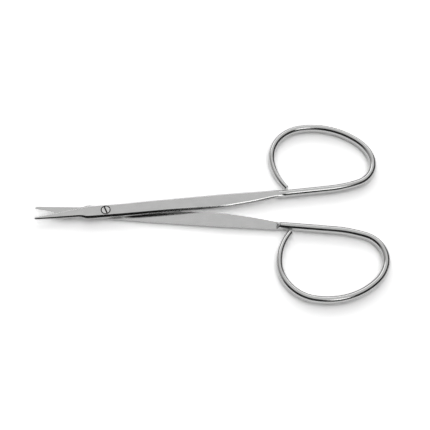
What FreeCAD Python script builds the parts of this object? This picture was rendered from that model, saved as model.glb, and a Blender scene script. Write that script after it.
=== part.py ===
import FreeCAD, Part
import math
import os

from FreeCAD import Vector

# Ring-handled surgical scissors in millimetres, lying on the plane Z = 0.
# X runs from the pivot towards the finger rings and Z is up.
# The pivot axis is the Z axis, and the flat faces of the two halves meet on the joint plane.
# Both halves are one forging, used twice: the lower one is the upper one turned over about X.
# Each is drawn closed, in its own frame: X along the closed scissors, Y towards its own ring,
# and Z away from the joint plane.

# How the two halves lie
rest_opening = 8.4            # degrees that the halves are opened from closed

# Joint box, the thick part round the screw
joint_thickness = 1.55        # one half at the screw
box_front = 5.6               # reach of the box in front of the pivot
box_behind = 5.0              # and behind it
box_half_width = 2.3          # at the flat face
foot_height = 0.85            # where the upright foot of the D section ends, next to the flat face
flank_run = 0.6               # how far the leaning flank runs in above the foot
corner_ease = 0.12            # eased corner between the flank and the outer face

# Blade, from its root in front of the box to the tip
blade_reach = 23.0            # pivot to the tip
root_width = 3.25
root_thickness = 1.3
root_offset = 0.22            # middle of the blade at its root, from the closed axis
belly_out = 0.22              # how far the cutting edge bows out of a straight line
box_ramp = 3.2                # length over which the blade swells into the box
edge_foot = 0.1               # upright strip left above the cutting edge
root_bevel = 0.5              # width of the ground bevel at the root
root_back_foot = 0.8          # upright foot of the blade's back at the root
root_back_run = 0.42          # and how far the back leans in above it
blade_relief = 0.02           # clearance between the blades, on each

# Blade tip
tip_width = 0.93
tip_thickness = 0.5
tip_end_thickness = 0.42
tip_offset = -0.3             # middle of the tip, towards the back
tip_round = 0.7               # length over which the tip is rounded
tip_bevel = 0.3
tip_back_foot = 0.16
tip_back_run = 0.28

# Shank, a flat D section that leans towards its own ring
shank_length = 55.9           # pivot to the shoulder where the wire begins
waist_at = 21.0
waist_inner = -2.0            # edge that faces the other half's ring
waist_outer = 2.69            # edge on the side of its own ring
waist_thickness = 1.45
waist_relief = 0.45           # the flat faces are hollowed here, so that they stand apart
belly_at = 38.5
belly_inner = -1.8
belly_outer = 3.04
belly_thickness = 1.38
belly_relief = 0.1
shoulder_inner = 0.4
shoulder_outer = 3.02
shoulder_thickness = 1.38
shoulder_relief = 0.1

# Ring wire, an upright oval
wire_width = 2.5              # in the plane of the ring
wire_offset = 1.73            # middle of the wire at the shoulder, from the closed axis
wire_heading = 1.9            # degrees that the straight run turns away from the closed axis
straight_run = 17.9           # shoulder to the first bend
nose_length = 1.5             # rounded start of the wire at the shoulder
shank_tail = 3.0              # how far the shank runs on inside the wire
tail_share = 0.7              # part of the wire's width and half height that the tail's end fills

# Bends of the ring, from the straight run round to the free end, each with its turn in
# degrees, all the same way; over the last two the wire is drawn thinner
lead_radius = 42.7
lead_turn = 13.6
heel_radius = 8.7
heel_turn = 86.9
side_radius = 12.6
side_turn = 31.0
crown_radius = 23.2
crown_turn = 53.6
front_radius = 12.4
front_turn = 83.2
end_radius = 18.5
end_turn = 36.1
taper_power = 1.8             # the wire thins slowly at first
end_width = 1.65
end_height = 2.0

# Pivot screw
head_diameter = 2.7
head_depth = 0.75
seat_gap = 0.2                # groove that shows round the head
screw_diameter = 1.8
running_gap = 0.05            # radial, in the upper half
slot_width = 0.42
slot_depth = 0.4
slot_angle = 113.0            # degrees from X
head_chamfer = 0.1

# Derived sizes
wire_height = 2 * joint_thickness
pair_height = 2 * joint_thickness
ring_bends = (
    (lead_radius, lead_turn),
    (heel_radius, heel_turn),
    (side_radius, side_turn),
    (crown_radius, crown_turn),
)
drawn_bends = ((front_radius, front_turn), (end_radius, end_turn))

# Sections between the named stations of the shank: shares of the way in length,
# inner edge, outer edge, thickness and relief
box_to_waist = ((0.2, 0.16, 0.24, 0.1, 0.6), (0.6, 0.62, 0.72, 0.5, 0.95))
waist_to_belly = ((0.55, 0.4, 0.6, 0.6, 0.5),)
belly_to_shoulder = ((0.22, 0.15, 0.0, 0.2, 0.3), (0.6, 0.5, 0.2, 0.6, 0.7))

# Sections of the blade: shares of the rounded tip, of the blade's length, and of the ramp
# with how much of the swell is reached there
tip_shares = (0.05, 0.3)
blade_shares = (0.0, 0.25, 0.5, 0.75, 1.0)
ramp_shares = ((0.35, 0.2), (0.7, 0.8), (1.0, 1.0))
nose_shares = (0.04, 0.15, 0.35, 0.65, 1.0)
oval_points = 6               # enough for a smooth closed curve
drawn_step = 12.0             # degrees of bend from one drawn section to the next


def mix(start, finish, share):
    return start + (finish - start) * share


def rounding(share):
    """Half width of a round end, as a share of the full half width."""
    return math.sqrt(1 - (1 - share) ** 2)


def slice_at(x, back, edge, top, floor, feet, runs):
    """Section across a half: flat face, upright feet, leaning flanks, eased corners, outer face."""
    outer_face = edge - back - sum(runs)
    ease = min(corner_ease, 0.2 * top, 0.3 * outer_face)
    corners = (
        (back, floor),
        (edge, floor),
        (edge, feet[1]),
        (edge - runs[1], top - ease),
        (edge - runs[1] - ease, top),
        (back + runs[0] + ease, top),
        (back + runs[0], top - ease),
        (back, feet[0]),
    )
    points = [Vector(x, y, z) for y, z in corners]
    return Part.makePolygon(points + points[:1])


def blade_slice(share):
    """Section of the blade; share runs from 0 at the tip's full section to 1 at the root."""
    x = mix(tip_round - blade_reach, -box_front - box_ramp, share)
    width = mix(tip_width, root_width, share)
    middle = mix(tip_offset, root_offset, share)
    bow = 4 * belly_out * share * (1 - share)
    top = mix(tip_thickness, root_thickness, share)
    feet = (mix(tip_back_foot, root_back_foot, share), edge_foot)
    runs = (mix(tip_back_run, root_back_run, share), mix(tip_bevel, root_bevel, share))
    return slice_at(x, middle - width / 2, middle + width / 2 + bow, top, blade_relief, feet, runs)


def tip_slice(share):
    """Section of the rounded tip; share runs from 0 at the very end to 1 at the full section."""
    half_width = rounding(share) * tip_width / 2
    top = mix(tip_end_thickness, tip_thickness, share)
    runs = (min(tip_back_run, half_width / 2), min(tip_bevel, half_width / 2))
    return slice_at(
        share * tip_round - blade_reach,
        tip_offset - half_width,
        tip_offset + half_width,
        top,
        blade_relief,
        (tip_back_foot, edge_foot),
        runs,
    )


def box_slice(x, swell=1.0):
    """Section of the joint box; swell below 1 is on the ramp from the blade."""
    return slice_at(
        x,
        mix(root_offset - root_width / 2, -box_half_width, swell),
        mix(root_offset + root_width / 2, box_half_width, swell),
        mix(root_thickness, joint_thickness, swell),
        mix(blade_relief, 0.0, swell),
        (mix(root_back_foot, foot_height, swell), mix(edge_foot, foot_height, swell)),
        (mix(root_back_run, flank_run, swell), mix(root_bevel, flank_run, swell)),
    )


def make_blade():
    tip = [tip_slice(share) for share in tip_shares]
    blade = [blade_slice(share) for share in blade_shares]
    ramp = [box_slice(-box_front - box_ramp * (1 - share), swell) for share, swell in ramp_shares]
    pointed = Part.makeLoft(tip + blade[:1], True, True)
    swelling = Part.makeLoft(blade + ramp, True, False, False, 2)
    return pointed.fuse(swelling)


def make_box():
    return Part.makeLoft([box_slice(-box_front), box_slice(box_behind)], True, True)


def stations_between(start, finish, blends):
    return [[mix(*ends) for ends in zip(start, finish, blend)] for blend in blends]


def make_shank():
    """Flat shank from the box to where its tail runs out inside the wire."""
    box_end = (box_behind, -box_half_width, box_half_width, joint_thickness, 0.0)
    waist = (waist_at, waist_inner, waist_outer, waist_thickness, waist_relief)
    belly = (belly_at, belly_inner, belly_outer, belly_thickness, belly_relief)
    shoulder = (shank_length, shoulder_inner, shoulder_outer, shoulder_thickness, shoulder_relief)
    half_tail = tail_share * wire_width / 2
    tail = (shank_length + shank_tail, wire_offset - half_tail, wire_offset + half_tail,
            tail_share * wire_height / 2, shoulder_relief)

    stations = stations_between(box_end, waist, box_to_waist) + [waist]
    stations += stations_between(waist, belly, waist_to_belly) + [belly]
    stations += stations_between(belly, shoulder, belly_to_shoulder) + [shoulder, tail]

    feet = (foot_height, foot_height)
    runs = (flank_run, flank_run)
    slices = [slice_at(x, inner, outer, top, relief, feet, runs) for x, inner, outer, top, relief in stations]
    return Part.makeLoft([box_slice(box_behind)] + slices, True, False, False, 3)


def oval(centre, heading, width, height):
    """Closed upright oval across a run that heads along the given angle."""
    across = Vector(-math.sin(heading), math.cos(heading), 0) * (width / 2)
    upward = Vector(0, 0, height / 2)
    angles = [2 * math.pi * number / oval_points for number in range(oval_points)]
    curve = Part.BSplineCurve()
    curve.interpolate(
        Points=[centre + across * math.cos(angle) + upward * math.sin(angle) for angle in angles],
        PeriodicFlag=True,
        Parameters=[float(number) for number in range(oval_points + 1)],
    )
    return Part.Wire([curve.toShape()])


def bend_from(start, heading, radius, turn):
    """Centre of a left-hand bend, and the place and heading where it ends."""
    centre = start + Vector(-math.sin(heading), math.cos(heading), 0) * radius
    finish = centre + Vector(math.sin(heading + turn), -math.cos(heading + turn), 0) * radius
    return centre, finish, heading + turn


def make_drawn_end(place, heading):
    """Last bends of the ring, drawn thinner to the free end."""
    drawn_length = sum(radius * math.radians(degrees) for radius, degrees in drawn_bends)
    sections = [oval(place, heading, wire_width, wire_height)]
    travelled = 0.0
    for radius, degrees in drawn_bends:
        steps = math.ceil(degrees / drawn_step)
        turn = math.radians(degrees) / steps
        for _ in range(steps):
            travelled += radius * turn
            _, place, heading = bend_from(place, heading, radius, turn)
            share = (travelled / drawn_length) ** taper_power
            width = mix(wire_width, end_width, share)
            height = mix(wire_height, end_height, share)
            sections.append(oval(place, heading, width, height))
    return Part.makeLoft(sections, True, True)


def make_wire():
    """Ring wire: rounded start at the shoulder, straight run, bends, and the drawn end."""
    heading = math.radians(wire_heading)
    ahead = Vector(math.cos(heading), math.sin(heading), 0)
    start = Vector(shank_length, wire_offset, 0)
    run_start = max(nose_length, shank_tail)

    nose = []
    for share in nose_shares:
        size = rounding(share)
        centre = start + ahead * nose_length * share
        nose.append(oval(centre, heading, wire_width * size, wire_height * size))
    nose.append(oval(start + ahead * run_start, heading, wire_width, wire_height))
    pieces = [Part.makeLoft(nose, True, True)]

    run = Part.Face(oval(start + ahead * run_start, heading, wire_width, wire_height))
    pieces.append(run.extrude(ahead * (straight_run - run_start)))

    place = start + ahead * straight_run
    for radius, degrees in ring_bends:
        centre, finish, heading_after = bend_from(place, heading, radius, math.radians(degrees))
        face = Part.Face(oval(place, heading, wire_width, wire_height))
        pieces.append(face.revolve(centre, Vector(0, 0, 1), degrees))
        place, heading = finish, heading_after

    pieces.append(make_drawn_end(place, heading))
    return pieces[0].multiFuse(pieces[1:])


def make_half():
    """One half without its pivot hole, in its own closed frame."""
    flat = make_blade().multiFuse([make_box(), make_shank()])
    reach = blade_reach + shank_length
    own_side = Part.makeBox(2 * reach, 2 * reach, joint_thickness, Vector(-reach, -reach, 0))
    return flat.common(own_side).fuse(make_wire()).removeSplitter()


def cylinder(diameter, low, high):
    return Part.makeCylinder(diameter / 2, high - low, Vector(0, 0, low))


def place_upper(shape):
    placed = shape.copy()
    placed.translate(Vector(0, 0, joint_thickness))
    placed.rotate(Vector(0, 0, 0), Vector(0, 0, 1), rest_opening / 2)
    return placed


def place_lower(shape):
    placed = shape.copy()
    placed.rotate(Vector(0, 0, 0), Vector(1, 0, 0), 180)
    placed.translate(Vector(0, 0, joint_thickness))
    placed.rotate(Vector(0, 0, 0), Vector(0, 0, 1), -rest_opening / 2)
    return placed


def make_upper_half(half):
    seat = cylinder(head_diameter + 2 * seat_gap, joint_thickness - head_depth, pair_height)
    hole = cylinder(screw_diameter + 2 * running_gap, -pair_height, pair_height)
    return place_upper(half.cut(seat).cut(hole))


def make_lower_half(half):
    return place_lower(half.cut(cylinder(screw_diameter, -pair_height, pair_height)))


def make_screw():
    """Slotted screw: head flush in the upper half, shaft threaded into the lower half.

    Its end is ground flush with the lower half's outer face.
    """
    head = cylinder(head_diameter, pair_height - head_depth, pair_height)
    rim = [edge for edge in head.Edges if edge.BoundBox.ZMin > pair_height - head_chamfer / 2]
    head = head.makeChamfer(head_chamfer, rim)
    shaft = cylinder(screw_diameter, 0, pair_height - head_depth / 2)
    corner = Vector(-head_diameter, -slot_width / 2, pair_height - slot_depth)
    slot = Part.makeBox(2 * head_diameter, slot_width, 2 * slot_depth, corner)
    slot.rotate(Vector(0, 0, 0), Vector(0, 0, 1), slot_angle)
    return head.fuse(shaft).removeSplitter().cut(slot)


os.makedirs("parts", exist_ok=True)
half = make_half()
shapes = {
    "upper_half": make_upper_half(half),
    "lower_half": make_lower_half(half),
    "pivot_screw": make_screw(),
}
for name, shape in shapes.items():
    shape.exportStep("parts/" + name + ".step")
    print(name, len(shape.Solids), "solid,", round(shape.Volume, 1), "mm3, valid", shape.isValid())
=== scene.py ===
import math

import bpy
from mathutils import Matrix, Vector


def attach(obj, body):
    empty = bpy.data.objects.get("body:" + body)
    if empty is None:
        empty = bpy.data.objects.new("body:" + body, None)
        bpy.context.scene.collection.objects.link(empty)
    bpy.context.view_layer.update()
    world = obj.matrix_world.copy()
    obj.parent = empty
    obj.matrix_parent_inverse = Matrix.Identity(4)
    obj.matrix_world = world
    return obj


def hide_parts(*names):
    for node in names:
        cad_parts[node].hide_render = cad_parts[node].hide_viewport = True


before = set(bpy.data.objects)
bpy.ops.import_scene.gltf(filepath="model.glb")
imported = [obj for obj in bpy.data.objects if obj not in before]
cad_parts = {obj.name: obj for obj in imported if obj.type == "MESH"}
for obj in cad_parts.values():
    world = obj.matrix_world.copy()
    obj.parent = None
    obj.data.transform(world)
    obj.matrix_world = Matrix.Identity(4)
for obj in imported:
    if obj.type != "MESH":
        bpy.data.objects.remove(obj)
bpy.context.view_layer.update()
print("frame loaded")

mm = 0.001  # every size below is in millimetres, and meshes are in metres

# Both halves are one forging. Each is drawn closed: x from the pivot towards the ring, y towards
# its own ring, z away from the joint plane.
joint = {
    "restOpening": 8.4,  # degrees, shared by the two halves
    "thickness": 1.55,
    "front": 5.6,
    "behind": 5.0,
    "halfWidth": 2.3,
    "foot": 0.85,
    "flankRun": 0.6,
    "sections": (-2.5, 0.0, 2.5),  # x of the sections between the box's ends
}
blade = {
    "reach": 23.0,
    "rootWidth": 3.25,
    "rootThickness": 1.3,
    "rootOffset": 0.22,
    "ramp": 3.2,
    "rampSwell": ((0.35, 0.2), (0.7, 0.8), (1.0, 1.0)),  # share of its length, share of the swell
    "edgeFoot": 0.1,
    "rootBevel": 0.5,
    "rootBackFoot": 0.8,
    "rootBackRun": 0.42,
    "relief": 0.02,
    "tipWidth": 0.93,
    "tipThickness": 0.5,
    "tipEndThickness": 0.42,
    "tipOffset": -0.3,
    "tipRound": 0.7,
    "tipShares": (0.05, 0.12, 0.22, 0.36, 0.55, 0.76),  # places of the sections in its rounding
    "tipBevel": 0.3,
    "tipBackFoot": 0.16,
    "tipBackRun": 0.28,
    "spans": 8,  # between the key rows, from the tip to the root
    "step": 0.45,  # distance between sections
}
shank = {
    # x, inner edge, outer edge, thickness, relief, rounding of the inner edge
    "waist": (21.0, -2.0, 2.69, 1.45, 0.45, 0.3),
    "belly": (38.5, -1.8, 3.04, 1.38, 0.1, 0.95),
    "shoulder": (55.9, 0.4, 3.02, 1.38, 0.1, 0.95),
    # how far the same sizes have gone towards the next station, at each section in between
    "toWaist": ((0.2, 0.16, 0.24, 0.1, 0.6, 0.2), (0.6, 0.62, 0.72, 0.5, 0.95, 0.6)),
    "toBelly": ((0.55, 0.4, 0.6, 0.6, 0.5, 0.8),),
    "toShoulder": ((0.22, 0.15, 0.0, 0.2, 0.3, 0.0), (0.6, 0.5, 0.2, 0.6, 0.7, 0.0)),
    "tail": 3.0,  # past the shoulder, inside the wire
    "tailShare": 0.7,
    "step": 0.7,
}
edges = {  # rounded corners of the sections
    "outer": 0.2,
    "foot": 0.12,
    "flat": 0.035,
    "points": 5,  # in each corner's arc
    "longestReach": 0.45,  # share of a side that one arc may take
    "capStep": 0.05,  # between the grain coordinates of an end's corners
}
wire = {
    "width": 2.485,
    "offset": 1.73,
    "heading": 1.9,
    "straightRun": 17.9,
    "noseStart": 1.0,  # where the wire comes out of the flat, before the shoulder
    "noseRise": 1.7,  # length over which its lower side goes down to the floor
    "noseBlend": 5.0,  # length over which the wire grows out of the outer face
    "noseWidth": 0.93,  # share of the width where it starts
    "noseTop": 1.26,
    "noseFloor": -0.3,  # its lower side starts this far inside the flat
    "leastDepth": 0.02,  # of the lower side, below the section's middle
    "bends": ((42.7, 13.6), (8.7, 86.9), (12.6, 31.0), (23.2, 53.6)),  # radius, degrees
    "drawnBends": ((12.4, 83.2), (18.5, 36.1)),  # the last two, where the wire grows thinner
    "taperPower": 1.8,
    "endWidth": 1.65,
    "endHeight": 2.0,
    "endRounding": 0.18,
    "endRows": 7,  # points that round the free end
    "around": 48,
    "seamJump": 0.3,  # share of a turn, which only the faces across the seam reach
    "step": 0.35,
    "fineStep": 0.16,  # where the wire grows out of the flat
}
screw = {
    "headDiameter": 2.7,
    "headDepth": 0.75,
    "shaftDiameter": 1.8,
    "shaftGap": 0.004,  # keeps the shaft's wall off the tapped hole's
    "runningGap": 0.05,
    "seatGap": 0.2,
    "slotWidth": 0.42,
    "slotDepth": 0.4,
    "slotAngle": 113.0,
    "rim": 0.2,
    "rimPoints": 6,
    "shaftEase": 0.04,  # chamfers
    "holeEase": 0.03,
    "seatEase": 0.05,
    "slotEase": 0.05,
    "past": 0.2,  # how far the cutters reach out of the steel
    "segments": 96,
}
shading = {
    "sharpAngle": 32.0,
    "faceWeight": 80,
}
polish = {
    "along": 260.0,  # noise scales, per metre
    "across": 9000.0,
    "cloudSize": 260.0,
    "grainDetail": 3.0,
    "grainRoughness": 0.6,
    "cloudDetail": 2.0,
    "spread": (0.35, 0.65),  # noise values between which colour and roughness change
    "darkest": 0.95,
    "brightest": 1.04,
    "bumpStrength": 0.25,
    "bumpDepth": 0.004,
}
# corners of the steel: real wear, and a painted highlight along the edges
wearAndHighlight = {
    "leastAngle": 8.5,  # degrees between two faces at which wear and the painted edge highlight begin to show
    "fullAngle": 12.0,
    "widestFace": 0.14,  # wider faces lie outside the worn corners with their painted highlight
    "patches": (0.38, 0.58),  # cloud values between which the patches come in
    "patchiness": 0.5,
    # brighter colour on the corners: partly wear, partly a painted highlight along the edges
    "brighter": 1.14,
    "smoother": 0.05,
}
recessShade = {  # painted shade in the screw's recess: the colour goes nearly black there, and rougher
    "past": 0.07,  # beyond the seat's wall
    "fullDepth": 0.12,
    "start": 0.12,  # share of that depth where it begins
    # colour of the painted shade
    "colour": (0.03, 0.028, 0.026),
    "rougher": 0.3,
}
metals = {  # colour, least and greatest roughness, coordinates of the grain
    "satinSteel": ((0.49, 0.49, 0.487), (0.15, 0.22), "UV"),
    "screwSteel": ((0.58, 0.58, 0.575), (0.16, 0.24), "Object"),
}
camera = {
    "elevation": 60.0,  # degrees above the floor
    "turn": 4.523,  # degrees from the camera's right to the scissors' x axis
    "roll": 3.18,
    "aim": (35.267, -1.536, 0.0),
    "distance": 286.31,
    "lens": 73.59,
    "sensor": 36.0,
    "shiftY": 0.0055,
    "clipStart": 10.0,
}
roundLights = {  # azimuth and elevation of the middle, inner and outer radius, strength
    "overhead": (85.0, 80.0, 32.0, 50.0, 0.96),
    "backLeft": (150.0, 20.0, 12.0, 45.0, 0.5),
}
tallLights = {  # middle azimuth, half width, soft edge, lowest and highest elevation, strength
    "back": (90.0, 42.0, 5.0, 22.0, 42.0, 2.75),
    "frontRight": (-62.5, 13.0, 2.5, 37.5, 58.0, 3.0),
}
softerTop = 3.0  # how much softer a tall light's upper edge is than its other edges
dimmest = 0.012  # light from the dark parts of the studio
floorColour = {"plain": 0.8, "shown": 1.62, "radius": 12.0, "sides": 64}  # radius in metres


def mix(start, finish, share):
    return start + (finish - start) * share


def rounding(share):
    return math.sqrt(max(0.0, 1 - (1 - share) ** 2))


def smoothRows(keys, step):  # rows between the key rows, on a smooth curve through them
    rows = []
    for number in range(len(keys) - 1):
        before = keys[max(number - 1, 0)]
        start, finish = keys[number], keys[number + 1]
        after = keys[min(number + 2, len(keys) - 1)]
        length = finish[0] - start[0]
        count = max(1, round(length / step))
        for part in range(count):
            t = part / count
            row = [mix(start[0], finish[0], t)]
            for k in range(1, len(start)):
                leave = (finish[k] - before[k]) / (finish[0] - before[0]) * length
                arrive = (after[k] - start[k]) / (after[0] - start[0]) * length
                row.append(
                    (2 * t**3 - 3 * t**2 + 1) * start[k] + (t**3 - 2 * t**2 + t) * leave
                    + (3 * t**2 - 2 * t**3) * finish[k] + (t**3 - t**2) * arrive
                )
            rows.append(row)
    rows.append(list(keys[-1]))
    return rows


def roundedCorner(before, corner, after, radius):  # points of an arc that eases one corner
    toBefore = (before - corner).normalized()
    toAfter = (after - corner).normalized()
    halfAngle = toBefore.angle(toAfter) / 2
    reach = min(
        radius / math.tan(halfAngle),
        edges["longestReach"] * (before - corner).length,
        edges["longestReach"] * (after - corner).length,
    )
    radius = reach * math.tan(halfAngle)
    middle = corner + (toBefore + toAfter).normalized() * (radius / math.sin(halfAngle))
    first = (corner + toBefore * reach - middle).normalized()
    last = (corner + toAfter * reach - middle).normalized()
    points = []
    for number in range(edges["points"]):
        share = number / (edges["points"] - 1)
        points.append(middle + first.slerp(last, share, first) * radius)
    return points


def sectionPoints(row):  # one D section, counted the same way in every row
    x, back, edge, top, floor, backFoot, edgeFoot, backRun, edgeRun, backRounding = row
    corners = (
        (back, floor, edges["flat"]),
        (edge, floor, edges["flat"]),
        (edge, edgeFoot, edges["foot"]),
        (edge - edgeRun, top, edges["outer"]),
        (back + backRun, top, backRounding),
        (back, backFoot, edges["foot"]),
    )
    flatPoints = [Vector((y, z)) for y, z, _ in corners]
    points = []
    for number, (_, _, radius) in enumerate(corners):
        following = flatPoints[(number + 1) % len(corners)]
        arc = roundedCorner(flatPoints[number - 1], flatPoints[number], following, radius)
        points += [Vector((x, point.x, point.y)) for point in arc]
    return points


def bladeRows():
    rows = []
    for share in blade["tipShares"]:
        half = rounding(share) * blade["tipWidth"] / 2
        rows.append([
            share * blade["tipRound"] - blade["reach"],
            blade["tipOffset"] - half,
            blade["tipOffset"] + half,
            mix(blade["tipEndThickness"], blade["tipThickness"], share),
            blade["relief"],
            blade["tipBackFoot"],
            blade["edgeFoot"],
            min(blade["tipBackRun"], half / 2),
            min(blade["tipBevel"], half / 2),
            edges["outer"],
        ])
    keys = []
    for number in range(blade["spans"] + 1):
        share = number / blade["spans"]
        width = mix(blade["tipWidth"], blade["rootWidth"], share)
        middle = mix(blade["tipOffset"], blade["rootOffset"], share)
        keys.append([
            mix(blade["tipRound"] - blade["reach"], -joint["front"] - blade["ramp"], share),
            middle - width / 2,
            middle + width / 2,
            mix(blade["tipThickness"], blade["rootThickness"], share),
            blade["relief"],
            mix(blade["tipBackFoot"], blade["rootBackFoot"], share),
            blade["edgeFoot"],
            mix(blade["tipBackRun"], blade["rootBackRun"], share),
            mix(blade["tipBevel"], blade["rootBevel"], share),
            edges["outer"],
        ])
    for share, swell in blade["rampSwell"]:
        keys.append(boxRow(-joint["front"] - blade["ramp"] * (1 - share), swell))
    return rows + smoothRows(keys, blade["step"])


def boxRow(x, swell=1.0):  # a section of the joint's box, or of the blade's root swelling to it
    return [
        x,
        mix(blade["rootOffset"] - blade["rootWidth"] / 2, -joint["halfWidth"], swell),
        mix(blade["rootOffset"] + blade["rootWidth"] / 2, joint["halfWidth"], swell),
        mix(blade["rootThickness"], joint["thickness"], swell),
        mix(blade["relief"], 0.0, swell),
        mix(blade["rootBackFoot"], joint["foot"], swell),
        mix(blade["edgeFoot"], joint["foot"], swell),
        mix(blade["rootBackRun"], joint["flankRun"], swell),
        mix(blade["rootBevel"], joint["flankRun"], swell),
        edges["outer"],
    ]


def shankRows():
    boxEnd = (
        joint["behind"],
        -joint["halfWidth"],
        joint["halfWidth"],
        joint["thickness"],
        0.0,
        edges["outer"],
    )
    tailHalf = shank["tailShare"] * wire["width"] / 2
    tail = (
        shank["shoulder"][0] + shank["tail"],
        wire["offset"] - tailHalf,
        wire["offset"] + tailHalf,
        shank["tailShare"] * joint["thickness"],
        *shank["shoulder"][4:],
    )
    stations = []
    for start, finish, blends in (
        (boxEnd, shank["waist"], shank["toWaist"]),
        (shank["waist"], shank["belly"], shank["toBelly"]),
        (shank["belly"], shank["shoulder"], shank["toShoulder"]),
    ):
        stations += [[mix(*ends) for ends in zip(start, finish, blend)] for blend in blends]
        stations.append(finish)
    stations.append(tail)
    flanks = (joint["foot"], joint["foot"], joint["flankRun"], joint["flankRun"])
    keys = [boxRow(joint["behind"])]
    for *outline, eased in stations:
        keys.append([*outline, *flanks, eased])
    return smoothRows(keys, shank["step"])


def bendStep(place, heading, radius, turn):
    centre = place + Vector((-math.sin(heading), math.cos(heading), 0)) * radius
    after = heading + turn
    return centre + Vector((math.sin(after), -math.cos(after), 0)) * radius, after


def wirePath():  # the wire's middle line, as points close enough for each bend
    heading = math.radians(wire["heading"])
    ahead = Vector((math.cos(heading), math.sin(heading), 0))
    start = Vector((shank["shoulder"][0], wire["offset"], 0))
    fine = wire["fineStep"]
    stations = [
        fine * number - wire["noseStart"] for number in range(round(wire["noseBlend"] / fine))
    ]
    lastFine = stations[-1]
    count = round((wire["straightRun"] - lastFine) / (2 * wire["step"]))
    for number in range(count):
        stations.append(mix(lastFine, wire["straightRun"], (number + 1) / count))
    points = [start + ahead * along for along in stations]
    place = points[-1]
    for radius, degrees in wire["bends"] + wire["drawnBends"]:
        count = round(radius * math.radians(degrees) / wire["step"])
        for _ in range(count):
            place, heading = bendStep(place, heading, radius, math.radians(degrees) / count)
            points.append(place)
    ahead = Vector((math.cos(heading), math.sin(heading), 0))
    points = points[:-2]  # the rounded end's points take the place of the last two
    for number in range(wire["endRows"]):
        turn = math.pi / 2 * number / (wire["endRows"] - 1)
        points.append(place - ahead * wire["endRounding"] * (1 - math.sin(turn)))
    return points


def setSocket(tree, value, socket):  # links another node's output, or sets a plain value
    if hasattr(value, "is_output"):
        tree.links.new(value, socket)
    else:
        socket.default_value = value


def mathNode(tree, operation, *values):
    node = tree.nodes.new("ShaderNodeMath")
    node.operation = operation
    for socket, value in zip(node.inputs, values):
        setSocket(tree, value, socket)
    return node.outputs[0]


def vectorNode(tree, operation, *values):
    node = tree.nodes.new("ShaderNodeVectorMath")
    node.operation = operation
    for socket, value in zip(node.inputs, values):
        setSocket(tree, value, socket)
    return node.outputs["Value" if operation == "DOT_PRODUCT" else "Vector"]


def scaleNode(tree, vector, factor):
    node = tree.nodes.new("ShaderNodeVectorMath")
    node.operation = "SCALE"
    tree.links.new(vector, node.inputs[0])
    tree.links.new(factor, node.inputs["Scale"])
    return node.outputs[0]


def mixNode(tree, start, finish, share, kind="FLOAT"):
    node = tree.nodes.new("ShaderNodeMix")
    node.data_type = kind
    for label, value in (("A", start), ("B", finish), ("Factor", share)):
        setSocket(tree, value, node.inputs[label])
    return node.outputs["Result"]


def rangeNode(tree, value, low, high, fromLow, fromHigh):
    node = tree.nodes.new("ShaderNodeMapRange")
    for label, part in (
        ("Value", value),
        ("From Min", fromLow),
        ("From Max", fromHigh),
        ("To Min", low),
        ("To Max", high),
    ):
        setSocket(tree, part, node.inputs[label])
    return node.outputs["Result"]


def smoothNode(tree, value, low, high, top=1.0):  # 0 up to low, an S curve, and top from high on
    result = rangeNode(tree, value, 0.0, top, low, high)
    result.node.interpolation_type = "SMOOTHSTEP"
    return result


def groupNode(tree, group):
    node = tree.nodes.new("ShaderNodeGroup")
    node.node_tree = group
    return node


def captureNode(tree, geometry, fields):
    node = tree.nodes.new("GeometryNodeCaptureAttribute")
    for label, kind, _ in fields:
        node.capture_items.new(kind, label)
    for label, _, field in fields:
        tree.links.new(field, node.inputs[label])
    tree.links.new(geometry, node.inputs["Geometry"])
    return node.outputs


def newGroup(name, inputs, outputs):
    group = bpy.data.node_groups.new(name, "ShaderNodeTree")
    for label, kind, value in inputs:
        socket = group.interface.new_socket(name=label, in_out="INPUT", socket_type=kind)
        if value is not None:
            socket.default_value = value
    for label, kind in outputs:
        group.interface.new_socket(name=label, in_out="OUTPUT", socket_type=kind)
    return group, group.nodes.new("NodeGroupInput"), group.nodes.new("NodeGroupOutput")


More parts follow.
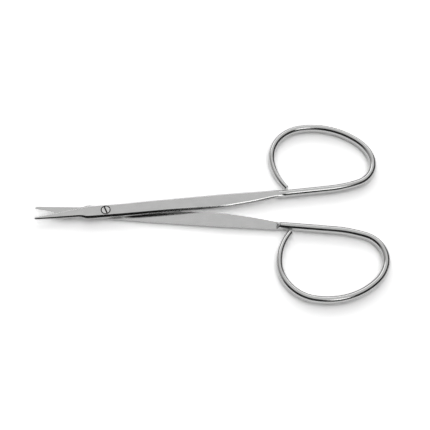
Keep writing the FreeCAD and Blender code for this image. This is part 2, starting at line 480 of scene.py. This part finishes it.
def makeWireTree():
    tree = bpy.data.node_groups.new("ringWire", "GeometryNodeTree")
    links = tree.links
    sockets = [("Geometry", "NodeSocketGeometry")]
    sockets += [(label, "NodeSocketFloat") for label in (
        "Width", "Height", "End Width", "End Height", "Taper Length", "Taper Power", "End Rounding",
        "Nose Length", "Nose Rise", "Nose Width", "Nose Top", "Nose Floor", "Least Depth",
    )]
    sockets += [("Sides", "NodeSocketInt"), ("Material", "NodeSocketMaterial")]
    for label, kind in sockets:
        tree.interface.new_socket(name=label, in_out="INPUT", socket_type=kind)
    tree.interface.new_socket(name="Geometry", in_out="OUTPUT", socket_type="NodeSocketGeometry")
    size = tree.nodes.new("NodeGroupInput").outputs

    # a tube of unit radius along the path
    path = tree.nodes.new("GeometryNodeMeshToCurve")
    links.new(size["Geometry"], path.inputs["Mesh"])
    upright = tree.nodes.new("GeometryNodeSetCurveNormal")
    upright.mode = "Z_UP"
    links.new(path.outputs[0], upright.inputs["Curve"])
    centre = tree.nodes.new("GeometryNodeInputPosition").outputs[0]
    line = captureNode(tree, upright.outputs[0], (
        ("Along", "FLOAT", tree.nodes.new("GeometryNodeSplineParameter").outputs["Length"]),
        ("Whole", "FLOAT", tree.nodes.new("GeometryNodeSplineLength").outputs["Length"]),
        ("Centre", "VECTOR", centre),
        ("Ahead", "VECTOR", tree.nodes.new("GeometryNodeInputTangent").outputs[0]),
    ))
    circle = tree.nodes.new("GeometryNodeCurvePrimitiveCircle")
    circle.inputs["Radius"].default_value = 1.0
    links.new(size["Sides"], circle.inputs["Resolution"])
    index = tree.nodes.new("GeometryNodeInputIndex").outputs[0]
    turn = mathNode(tree, "DIVIDE", index, size["Sides"])
    section = captureNode(tree, circle.outputs["Curve"], (("Turn", "FLOAT", turn),))
    skin = tree.nodes.new("GeometryNodeCurveToMesh")
    links.new(line["Geometry"], skin.inputs["Curve"])
    links.new(section["Geometry"], skin.inputs["Profile Curve"])
    skin.inputs["Fill Caps"].default_value = True

    # width, top and floor of the section at each place
    grown = smoothNode(tree, line["Along"], 0.0, size["Nose Length"])
    risen = smoothNode(tree, line["Along"], 0.0, size["Nose Rise"])
    left = mathNode(tree, "SUBTRACT", line["Whole"], line["Along"])
    drawn = mathNode(tree, "SUBTRACT", 1.0, mathNode(tree, "DIVIDE", left, size["Taper Length"]))
    drawn = mathNode(tree, "POWER", mathNode(tree, "MAXIMUM", drawn, 0.0), size["Taper Power"])
    width = mathNode(tree, "MULTIPLY", size["Width"], mixNode(tree, size["Nose Width"], 1.0, grown))
    width = mixNode(tree, width, size["End Width"], drawn)
    half = mathNode(tree, "DIVIDE", size["Height"], 2.0)
    endHalf = mathNode(tree, "DIVIDE", size["End Height"], 2.0)
    top = mixNode(tree, mixNode(tree, size["Nose Top"], half, grown), endHalf, drawn)
    floor = mixNode(tree, mixNode(tree, size["Nose Floor"], half, risen), endHalf, drawn)

    # all sides go in where the free end is rounded
    rounded = size["End Rounding"]
    past = mathNode(tree, "MAXIMUM", mathNode(tree, "SUBTRACT", rounded, left), 0.0)
    radiusSquare = mathNode(tree, "POWER", rounded, 2.0)
    square = mathNode(tree, "SUBTRACT", radiusSquare, mathNode(tree, "POWER", past, 2.0))
    chord = mathNode(tree, "SQRT", mathNode(tree, "MAXIMUM", square, 0.0))
    inset = mathNode(tree, "SUBTRACT", rounded, chord)
    reach = mathNode(tree, "SUBTRACT", mathNode(tree, "DIVIDE", width, 2.0), inset)
    top = mathNode(tree, "SUBTRACT", top, inset)
    floor = mathNode(tree, "SUBTRACT", floor, inset)
    middle = mathNode(tree, "MAXIMUM", mathNode(tree, "MULTIPLY", floor, -1.0), 0.0)

    # the tube's points go out to those sizes
    offset = vectorNode(tree, "SUBTRACT", centre, line["Centre"])
    across = vectorNode(tree, "CROSS_PRODUCT", (0.0, 0.0, 1.0), line["Ahead"])
    side = vectorNode(tree, "DOT_PRODUCT", offset, across)
    rise = vectorNode(tree, "DOT_PRODUCT", offset, (0.0, 0.0, 1.0))
    above = mathNode(tree, "MAXIMUM", rise, 0.0)
    upper = mathNode(tree, "MULTIPLY", above, mathNode(tree, "SUBTRACT", top, middle))
    below = mathNode(tree, "MINIMUM", rise, 0.0)
    lower = mathNode(tree, "MULTIPLY", below, mathNode(tree, "MAXIMUM", floor, size["Least Depth"]))
    height = mathNode(tree, "ADD", middle, mathNode(tree, "ADD", upper, lower))
    sideways = scaleNode(tree, across, mathNode(tree, "MULTIPLY", side, reach))
    place = vectorNode(tree, "ADD", line["Centre"], sideways)
    lift = tree.nodes.new("ShaderNodeCombineXYZ")
    links.new(height, lift.inputs["Z"])
    moved = tree.nodes.new("GeometryNodeSetPosition")
    links.new(skin.outputs[0], moved.inputs["Geometry"])
    links.new(vectorNode(tree, "ADD", place, lift.outputs[0]), moved.inputs["Position"])

    # grain coordinates, along and around, with the last column past the seam
    average = tree.nodes.new("GeometryNodeFieldOnDomain")
    average.domain = "FACE"
    links.new(section["Turn"], average.inputs[0])
    behind = mathNode(tree, "SUBTRACT", average.outputs[0], section["Turn"])
    past = mathNode(tree, "GREATER_THAN", behind, wire["seamJump"])
    turn = mathNode(tree, "ADD", section["Turn"], past)
    girth = mathNode(tree, "MULTIPLY", turn, mathNode(tree, "MULTIPLY", size["Width"], math.pi))
    grain = tree.nodes.new("ShaderNodeCombineXYZ")
    links.new(line["Along"], grain.inputs["X"])
    links.new(girth, grain.inputs["Y"])
    store = tree.nodes.new("GeometryNodeStoreNamedAttribute")
    store.data_type = "FLOAT2"
    store.domain = "CORNER"
    store.inputs["Name"].default_value = "grain"
    links.new(moved.outputs[0], store.inputs["Geometry"])
    links.new(grain.outputs[0], store.inputs["Value"])
    real = tree.nodes.new("GeometryNodeRealizeInstances")
    links.new(store.outputs[0], real.inputs[0])
    finish = tree.nodes.new("GeometryNodeSetMaterial")
    links.new(real.outputs[0], finish.inputs["Geometry"])
    links.new(size["Material"], finish.inputs["Material"])
    leave = tree.nodes.new("NodeGroupOutput")
    links.new(finish.outputs[0], leave.inputs["Geometry"])
    return tree


def newObject(name, mesh):
    obj = bpy.data.objects.new(name, mesh)
    bpy.context.scene.collection.objects.link(obj)
    return obj


def makeWire(name):
    points = wirePath()
    pairs = [(number, number + 1) for number in range(len(points) - 1)]
    mesh = bpy.data.meshes.new(name)
    mesh.from_pydata([point * mm for point in points], pairs, [])
    obj = newObject(name, mesh)
    modifier = obj.modifiers.new("ringWire", "NODES")
    modifier.node_group = wireTree
    drawnLength = sum(radius * math.radians(degrees) for radius, degrees in wire["drawnBends"])
    values = {
        "Width": wire["width"] * mm,
        "Height": 2 * joint["thickness"] * mm,
        "End Width": wire["endWidth"] * mm,
        "End Height": wire["endHeight"] * mm,
        "Taper Length": drawnLength * mm,
        "Taper Power": wire["taperPower"],
        "End Rounding": wire["endRounding"] * mm,
        "Nose Length": wire["noseBlend"] * mm,
        "Nose Rise": wire["noseRise"] * mm,
        "Nose Width": wire["noseWidth"],
        "Nose Top": wire["noseTop"] * mm,
        "Nose Floor": wire["noseFloor"] * mm,
        "Least Depth": wire["leastDepth"] * mm,
        "Sides": wire["around"],
        "Material": satinSteel,
    }
    for socket in wireTree.interface.items_tree:
        if socket.in_out == "INPUT" and socket.name in values:
            modifier[socket.identifier] = values[socket.name]
    return flatten(obj)


def tubeMesh(name, loops, travelled):  # closed skin through loops of points, lengthwise UVs
    around = len(loops[0])
    verts = [point * mm for loop in loops for point in loop]
    faces = []
    coords = []
    for row in range(len(loops) - 1):
        girth = 0.0
        for column in range(around):
            following = (column + 1) % around
            width = (loops[row][following] - loops[row][column]).length
            low, high = row * around, (row + 1) * around
            faces.append((low + column, low + following, high + following, high + column))
            coords += [
                (travelled[row], girth),
                (travelled[row], girth + width),
                (travelled[row + 1], girth + width),
                (travelled[row + 1], girth),
            ]
            girth += width
    for row, order in ((0, -1), (len(loops) - 1, 1)):
        faces.append([row * around + column for column in range(around)][::order])
        coords += [(travelled[row], number * edges["capStep"]) for number in range(around)]
    mesh = bpy.data.meshes.new(name)
    mesh.from_pydata(verts, [], faces)
    layer = mesh.uv_layers.new(name="grain")
    for number, (along, side) in enumerate(coords):
        layer.data[number].uv = (along * mm, side * mm)
    mesh.validate()
    mesh.update()
    return newObject(name, mesh)


def turnedMesh(name, profile):  # closed solid of revolution about z, from (radius, z) points
    segments = screw["segments"]
    verts = []
    faces = []
    for radius, z in profile:
        for number in range(segments):
            angle = 2 * math.pi * number / segments
            verts.append(Vector((radius * math.cos(angle), radius * math.sin(angle), z)) * mm)
    for row in range(len(profile) - 1):
        for column in range(segments):
            following = (column + 1) % segments
            low, high = row * segments, (row + 1) * segments
            faces.append((low + column, low + following, high + following, high + column))
    faces.append(list(range(segments))[::-1])
    faces.append(list(range((len(profile) - 1) * segments, len(profile) * segments)))
    mesh = bpy.data.meshes.new(name)
    mesh.from_pydata(verts, [], faces)
    mesh.update()
    return newObject(name, mesh)


def flatten(obj):  # the evaluated object as a plain mesh
    bpy.context.view_layer.update()
    graph = bpy.context.evaluated_depsgraph_get()
    mesh = bpy.data.meshes.new_from_object(obj.evaluated_get(graph))
    obj.modifiers.clear()
    obj.data = mesh
    return obj


def combine(obj, other, operation):
    modifier = obj.modifiers.new(operation, "BOOLEAN")
    modifier.operation = operation
    modifier.solver = "EXACT"
    modifier.object = other
    flatten(obj)
    bpy.data.objects.remove(other)
    return obj


def finishSurface(obj):
    mesh = obj.data
    for polygon in mesh.polygons:
        polygon.use_smooth = True
    mesh.set_sharp_from_angle(angle=math.radians(shading["sharpAngle"]))
    weighted = obj.modifiers.new("weighted", "WEIGHTED_NORMAL")
    weighted.keep_sharp = True
    weighted.weight = shading["faceWeight"]
    flatten(obj)


def markCornerWearAndHighlight(obj):  # face attribute: 1 on outside corners' narrow faces, which handling polishes and where the material paints a highlight along the edges
    mesh = obj.data
    sides = {}
    for polygon in mesh.polygons:
        for key in polygon.edge_keys:
            sides.setdefault(key, []).append(polygon)
    cornerWearAndHighlight = [0.0] * len(mesh.polygons)
    for pair in sides.values():
        if len(pair) != 2 or (pair[1].center - pair[0].center).dot(pair[0].normal) > 0:
            continue
        angle = math.degrees(pair[0].normal.angle(pair[1].normal, 0.0))
        share = (angle - wearAndHighlight["leastAngle"]) / (wearAndHighlight["fullAngle"] - wearAndHighlight["leastAngle"])
        for polygon in pair:
            cornerWearAndHighlight[polygon.index] = max(cornerWearAndHighlight[polygon.index], min(share, 1.0))
    for polygon in mesh.polygons:
        corners = [mesh.vertices[number].co for number in polygon.vertices]
        lengths = [(corner - corners[number - 1]).length for number, corner in enumerate(corners)]
        if polygon.area > max(lengths) * wearAndHighlight["widestFace"] * mm:
            cornerWearAndHighlight[polygon.index] = 0.0
    attribute = mesh.attributes.new("cornerWearAndHighlight", "FLOAT", "FACE")
    attribute.data.foreach_set("value", cornerWearAndHighlight)


def makeHalf(name):
    rows = bladeRows() + [boxRow(x) for x in joint["sections"]] + shankRows()
    body = tubeMesh(name, [sectionPoints(row) for row in rows], [row[0] for row in rows])
    return combine(body, makeWire(name + "Wire"), "UNION")


def placeHalf(obj, upper):
    turn = math.radians(joint["restOpening"] / 2)
    place = Matrix.Translation((0, 0, joint["thickness"] * mm))
    if upper:
        place = Matrix.Rotation(turn, 4, "Z") @ place
    else:
        place = Matrix.Rotation(-turn, 4, "Z") @ place @ Matrix.Rotation(math.pi, 4, "X")
    obj.data.transform(place)
    return obj


def makeUpperHalf():
    half = placeHalf(makeHalf("upperHalf"), True)
    top = 2 * joint["thickness"]
    seatRadius = screw["headDiameter"] / 2 + screw["seatGap"]
    holeRadius = screw["shaftDiameter"] / 2 + screw["runningGap"]
    seatFloor = top - screw["headDepth"]
    ease, past = screw["seatEase"], screw["past"]
    cutter = turnedMesh("seatCutter", (
        (holeRadius, joint["thickness"] - past),
        (holeRadius, seatFloor),
        (seatRadius, seatFloor),
        (seatRadius, top - ease),
        (seatRadius + ease, top),
        (seatRadius + ease + past, top + past),
    ))
    combine(half, cutter, "DIFFERENCE")
    finishSurface(half)
    markCornerWearAndHighlight(half)
    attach(half, "upper")
    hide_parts("upper_half")
    return half


def makeLowerHalf():
    half = placeHalf(makeHalf("lowerHalf"), False)
    radius = screw["shaftDiameter"] / 2
    ease, past = screw["holeEase"], screw["past"]
    cutter = turnedMesh("holeCutter", (
        (radius + ease + past, -past),
        (radius, ease),
        (radius, joint["thickness"] + past),
    ))
    combine(half, cutter, "DIFFERENCE")
    finishSurface(half)
    markCornerWearAndHighlight(half)
    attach(half, "lower")
    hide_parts("lower_half")
    return half


def makeSlotCutter():  # a bar across the screw's head, wider above to chamfer the slot
    top = 2 * joint["thickness"]
    half, ease = screw["slotWidth"] / 2, screw["slotEase"]
    outline = (
        (-half, top - screw["slotDepth"]),
        (half, top - screw["slotDepth"]),
        (half, top - ease),
        (half + 2 * ease, top + ease),
        (-half - 2 * ease, top + ease),
        (-half, top - ease),
    )
    count = len(outline)
    length = screw["headDiameter"]
    verts = [Vector((end * length, y, z)) * mm for end in (-1, 1) for y, z in outline]
    faces = [list(range(count))[::-1], list(range(count, 2 * count))]
    for number in range(count):
        following = (number + 1) % count
        faces.append((number, following, count + following, count + number))
    mesh = bpy.data.meshes.new("slotCutter")
    mesh.from_pydata(verts, [], faces)
    mesh.transform(Matrix.Rotation(math.radians(screw["slotAngle"]), 4, "Z"))
    return newObject("slotCutter", mesh)


def makeScrew():
    top = 2 * joint["thickness"]
    head = screw["headDiameter"] / 2
    shaft = screw["shaftDiameter"] / 2 - screw["shaftGap"]
    profile = [
        (shaft - screw["shaftEase"], 0.0),
        (shaft, screw["shaftEase"]),
        (shaft, top - screw["headDepth"]),
        (head, top - screw["headDepth"]),
    ]
    for number in range(screw["rimPoints"]):
        angle = math.pi / 2 * number / (screw["rimPoints"] - 1)
        inset = screw["rim"] * (1 - math.cos(angle))
        profile.append((head - inset, top - screw["rim"] * (1 - math.sin(angle))))
    body = turnedMesh("pivotScrew", profile)
    combine(body, makeSlotCutter(), "DIFFERENCE")
    finishSurface(body)
    markCornerWearAndHighlight(body)
    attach(body, "lower")
    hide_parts("pivot_screw")
    return body


def makeGrainGroup():  # fine marks along the first coordinate, and soft clouds
    group, entry, leave = newGroup(
        "polishGrain",
        (
            ("Vector", "NodeSocketVector", None),
            ("Along", "NodeSocketFloat", polish["along"]),
            ("Across", "NodeSocketFloat", polish["across"]),
            ("Cloud Size", "NodeSocketFloat", polish["cloudSize"]),
        ),
        (("Grain", "NodeSocketFloat"), ("Cloud", "NodeSocketFloat")),
    )
    links = group.links
    split = group.nodes.new("ShaderNodeSeparateXYZ")
    links.new(entry.outputs["Vector"], split.inputs[0])
    join = group.nodes.new("ShaderNodeCombineXYZ")
    for number, scale in enumerate(("Along", "Across", "Across")):
        scaled = mathNode(group, "MULTIPLY", split.outputs[number], entry.outputs[scale])
        links.new(scaled, join.inputs[number])
    grain = group.nodes.new("ShaderNodeTexNoise")
    grain.inputs["Scale"].default_value = 1.0
    grain.inputs["Detail"].default_value = polish["grainDetail"]
    grain.inputs["Roughness"].default_value = polish["grainRoughness"]
    links.new(join.outputs[0], grain.inputs["Vector"])
    links.new(grain.outputs["Fac"], leave.inputs["Grain"])
    cloud = group.nodes.new("ShaderNodeTexNoise")
    cloud.inputs["Detail"].default_value = polish["cloudDetail"]
    links.new(entry.outputs["Vector"], cloud.inputs["Vector"])
    links.new(entry.outputs["Cloud Size"], cloud.inputs["Scale"])
    links.new(cloud.outputs["Fac"], leave.inputs["Cloud"])
    return group


def makeRecessShadeGroup():  # painted shade in the screw's recess: how deep a point lies there, 0 to 1
    radius = screw["headDiameter"] / 2 + screw["seatGap"] + recessShade["past"]
    group, entry, leave = newGroup(
        "paintedRecessShade",
        (
            ("Position", "NodeSocketVector", None),
            ("Radius", "NodeSocketFloat", radius * mm),
            ("Top", "NodeSocketFloat", 2 * joint["thickness"] * mm),
            ("Fade", "NodeSocketFloat", recessShade["fullDepth"] * mm),
        ),
        (("Painted Shade", "NodeSocketFloat"),),
    )
    split = group.nodes.new("ShaderNodeSeparateXYZ")
    group.links.new(entry.outputs["Position"], split.inputs[0])
    x, y, z = split.outputs
    square = mathNode(group, "MULTIPLY", x, x)
    square = mathNode(group, "ADD", square, mathNode(group, "MULTIPLY", y, y))
    away = mathNode(group, "SQRT", square)
    near = mathNode(group, "LESS_THAN", away, entry.outputs["Radius"])
    below = mathNode(group, "SUBTRACT", entry.outputs["Top"], z)
    below = mathNode(group, "DIVIDE", below, entry.outputs["Fade"])
    deep = smoothNode(group, below, recessShade["start"], 1.0)
    group.links.new(mathNode(group, "MULTIPLY", near, deep), leave.inputs["Painted Shade"])
    return group


def makeWearAndHighlightGroup():  # bright, smooth patches on the marked corners: wear, and a painted highlight along the edges
    group, entry, leave = newGroup(
        "edgeWearAndHighlight",
        (
            ("Corner Wear And Highlight", "NodeSocketFloat", None),
            ("Cloud", "NodeSocketFloat", None),
            ("Patchiness", "NodeSocketFloat", wearAndHighlight["patchiness"]),
        ),
        (("Wear And Highlight", "NodeSocketFloat"),),
    )
    patch = rangeNode(group, entry.outputs["Cloud"], 0.0, 1.0, *wearAndHighlight["patches"])
    patch = mixNode(group, 1.0, patch, entry.outputs["Patchiness"])
    group.links.new(mathNode(group, "MULTIPLY", entry.outputs["Corner Wear And Highlight"], patch), leave.inputs["Wear And Highlight"])
    return group


def socketColour(colour, factor=1.0):
    return (*[factor * part for part in colour], 1)


def makeSteel(name, grainGroup, recessShadeGroup, wearAndHighlightGroup):
    colour, roughness, vector = metals[name]
    material = bpy.data.materials.new(name)
    material.use_nodes = True
    tree = material.node_tree
    links = tree.links
    shader = tree.nodes["Principled BSDF"]
    shader.inputs["Metallic"].default_value = 1.0
    coords = tree.nodes.new("ShaderNodeTexCoord")
    grain = groupNode(tree, grainGroup)
    links.new(coords.outputs[vector], grain.inputs["Vector"])
    recess = groupNode(tree, recessShadeGroup)
    links.new(coords.outputs["Object"], recess.inputs["Position"])
    paintedShade = recess.outputs["Painted Shade"]
    cornerWearAndHighlight = tree.nodes.new("ShaderNodeAttribute")
    cornerWearAndHighlight.attribute_name = "cornerWearAndHighlight"
    wearAndHighlightNode = groupNode(tree, wearAndHighlightGroup)
    links.new(cornerWearAndHighlight.outputs["Fac"], wearAndHighlightNode.inputs["Corner Wear And Highlight"])
    links.new(grain.outputs["Cloud"], wearAndHighlightNode.inputs["Cloud"])
    wearAndHighlightShare = wearAndHighlightNode.outputs["Wear And Highlight"]

    halfCloud = mathNode(tree, "MULTIPLY", grain.outputs["Cloud"], 0.5)
    blend = mathNode(tree, "MULTIPLY_ADD", grain.outputs["Grain"], 0.5, halfCloud)
    share = rangeNode(tree, blend, 0.0, 1.0, *polish["spread"])
    darkest = socketColour(colour, polish["darkest"])
    brightest = socketColour(colour, polish["brightest"])
    base = mixNode(tree, darkest, brightest, share, "RGBA")
    # the marked corners are painted brighter: wear, and a painted edge highlight
    base = mixNode(tree, base, socketColour(colour, wearAndHighlight["brighter"]), wearAndHighlightShare, "RGBA")
    # painted shade: the screw's recess is darkened to nearly black
    base = mixNode(tree, base, socketColour(recessShade["colour"]), paintedShade, "RGBA")
    links.new(base, shader.inputs["Base Color"])

    rough = rangeNode(tree, blend, *roughness, *polish["spread"])
    rough = mathNode(tree, "ADD", rough, mathNode(tree, "MULTIPLY", paintedShade, recessShade["rougher"]))
    rough = mathNode(tree, "SUBTRACT", rough, mathNode(tree, "MULTIPLY", wearAndHighlightShare, wearAndHighlight["smoother"]))
    links.new(rough, shader.inputs["Roughness"])
    bump = tree.nodes.new("ShaderNodeBump")
    bump.inputs["Strength"].default_value = polish["bumpStrength"]
    bump.inputs["Distance"].default_value = polish["bumpDepth"] * mm
    links.new(grain.outputs["Grain"], bump.inputs["Height"])
    links.new(bump.outputs["Normal"], shader.inputs["Normal"])
    return material


def makeFloor():
    bpy.ops.mesh.primitive_circle_add(
        vertices=floorColour["sides"], radius=floorColour["radius"], fill_type="NGON",
    )
    floor = bpy.context.object
    floor.name = "floor"
    material = bpy.data.materials.new("paleFloor")
    material.use_nodes = True
    tree = material.node_tree
    tree.nodes.clear()
    path = tree.nodes.new("ShaderNodeLightPath").outputs
    seen = mathNode(tree, "ADD", path["Is Camera Ray"], path["Is Glossy Ray"])
    seen = mathNode(tree, "ADD", seen, path["Is Transmission Ray"])
    seen = mathNode(tree, "MINIMUM", seen, 1.0)
    level = rangeNode(tree, seen, floorColour["plain"], floorColour["shown"], 0.0, 1.0)
    diffuse = tree.nodes.new("ShaderNodeBsdfDiffuse")
    tree.links.new(level, diffuse.inputs["Color"])
    output = tree.nodes.new("ShaderNodeOutputMaterial")
    tree.links.new(diffuse.outputs[0], output.inputs["Surface"])
    floor.data.materials.append(material)


def direction(azimuth, elevation):
    a, e = math.radians(azimuth), math.radians(elevation)
    return Vector((math.cos(a) * math.cos(e), math.sin(a) * math.cos(e), math.sin(e)))


def makeTallLightGroup():  # brightness of an upright band of light, seen in one direction
    group, entry, leave = newGroup(
        "tallLight",
        (
            ("Direction", "NodeSocketVector", None),
            ("Azimuth", "NodeSocketFloat", None),
            ("Half Width", "NodeSocketFloat", None),
            ("Edge", "NodeSocketFloat", None),
            ("Low", "NodeSocketFloat", None),
            ("High", "NodeSocketFloat", None),
            ("Strength", "NodeSocketFloat", None),
        ),
        (("Light", "NodeSocketFloat"),),
    )
    asked = entry.outputs
    split = group.nodes.new("ShaderNodeSeparateXYZ")
    group.links.new(asked["Direction"], split.inputs[0])
    x, y, z = split.outputs
    turned = mathNode(group, "SUBTRACT", mathNode(group, "ARCTAN2", y, x), asked["Azimuth"])
    turned = mathNode(group, "ABSOLUTE", mathNode(group, "WRAP", turned, math.pi, -math.pi))
    across = mathNode(group, "SUBTRACT", asked["Half Width"], turned)
    across = mathNode(group, "DIVIDE", across, asked["Edge"])
    elevation = mathNode(group, "ARCSINE", z)
    above = mathNode(group, "SUBTRACT", elevation, asked["Low"])
    above = mathNode(group, "DIVIDE", above, asked["Edge"])
    below = mathNode(group, "SUBTRACT", asked["High"], elevation)
    topEdge = mathNode(group, "MULTIPLY", asked["Edge"], softerTop)
    below = mathNode(group, "DIVIDE", below, topEdge)
    light = asked["Strength"]
    for part in (across, above, below):
        light = mathNode(group, "MULTIPLY", light, smoothNode(group, part, -1.0, 1.0))
    group.links.new(light, leave.inputs["Light"])
    return group


def makeStudio():  # the room: soft lights on a dark surrounding
    world = bpy.data.worlds.new("studio")
    bpy.context.scene.world = world
    world.use_nodes = True
    tree = world.node_tree
    ray = tree.nodes.new("ShaderNodeTexCoord").outputs["Generated"]
    lights = []
    for label, (azimuth, elevation, inner, outer, strength) in roundLights.items():
        near = vectorNode(tree, "DOT_PRODUCT", ray, direction(azimuth, elevation))
        near.node.label = label
        rim = math.cos(math.radians(outer)), math.cos(math.radians(inner))
        lights.append(smoothNode(tree, near, *rim, strength))
    tallLightGroup = makeTallLightGroup()
    for label, (*angles, strength) in tallLights.items():
        node = groupNode(tree, tallLightGroup)
        node.label = label
        tree.links.new(ray, node.inputs["Direction"])
        for socket, angle in zip(("Azimuth", "Half Width", "Edge", "Low", "High"), angles):
            node.inputs[socket].default_value = math.radians(angle)
        node.inputs["Strength"].default_value = strength
        lights.append(node.outputs["Light"])
    total = dimmest
    for light in lights:
        total = mathNode(tree, "MAXIMUM", light, total)
    tree.links.new(total, tree.nodes["Background"].inputs["Color"])


def makeCamera():
    elevation = math.radians(camera["elevation"])
    turn = math.radians(camera["turn"])
    roll = math.radians(camera["roll"])
    right = Vector((math.cos(turn), -math.sin(turn), 0))
    look = Vector((
        math.sin(turn) * math.cos(elevation),
        math.cos(turn) * math.cos(elevation),
        -math.sin(elevation),
    ))
    up = right.cross(look)
    rolledRight = right * math.cos(roll) + up * math.sin(roll)
    rolledUp = up * math.cos(roll) - right * math.sin(roll)
    place = Matrix((rolledRight, rolledUp, -look)).transposed().to_4x4()
    place.translation = (Vector(camera["aim"]) - look * camera["distance"]) * mm
    data = bpy.data.cameras.new("camera")
    data.lens = camera["lens"]
    data.sensor_width = camera["sensor"]
    data.shift_y = camera["shiftY"]
    data.clip_start = camera["clipStart"] * mm
    obj = newObject("camera", data)
    obj.matrix_world = place
    bpy.context.scene.camera = obj


groups = (makeGrainGroup(), makeRecessShadeGroup(), makeWearAndHighlightGroup())
satinSteel = makeSteel("satinSteel", *groups)
screwSteel = makeSteel("screwSteel", *groups)
wireTree = makeWireTree()
for piece, material in (
    (makeUpperHalf(), satinSteel),
    (makeLowerHalf(), satinSteel),
    (makeScrew(), screwSteel),
):
    piece.data.materials.clear()
    piece.data.materials.append(material)
    print(piece.name, len(piece.data.polygons), "faces")
makeFloor()
makeStudio()
makeCamera()
bpy.context.scene.view_settings.view_transform = "Standard"
print("floor, light and camera ready")
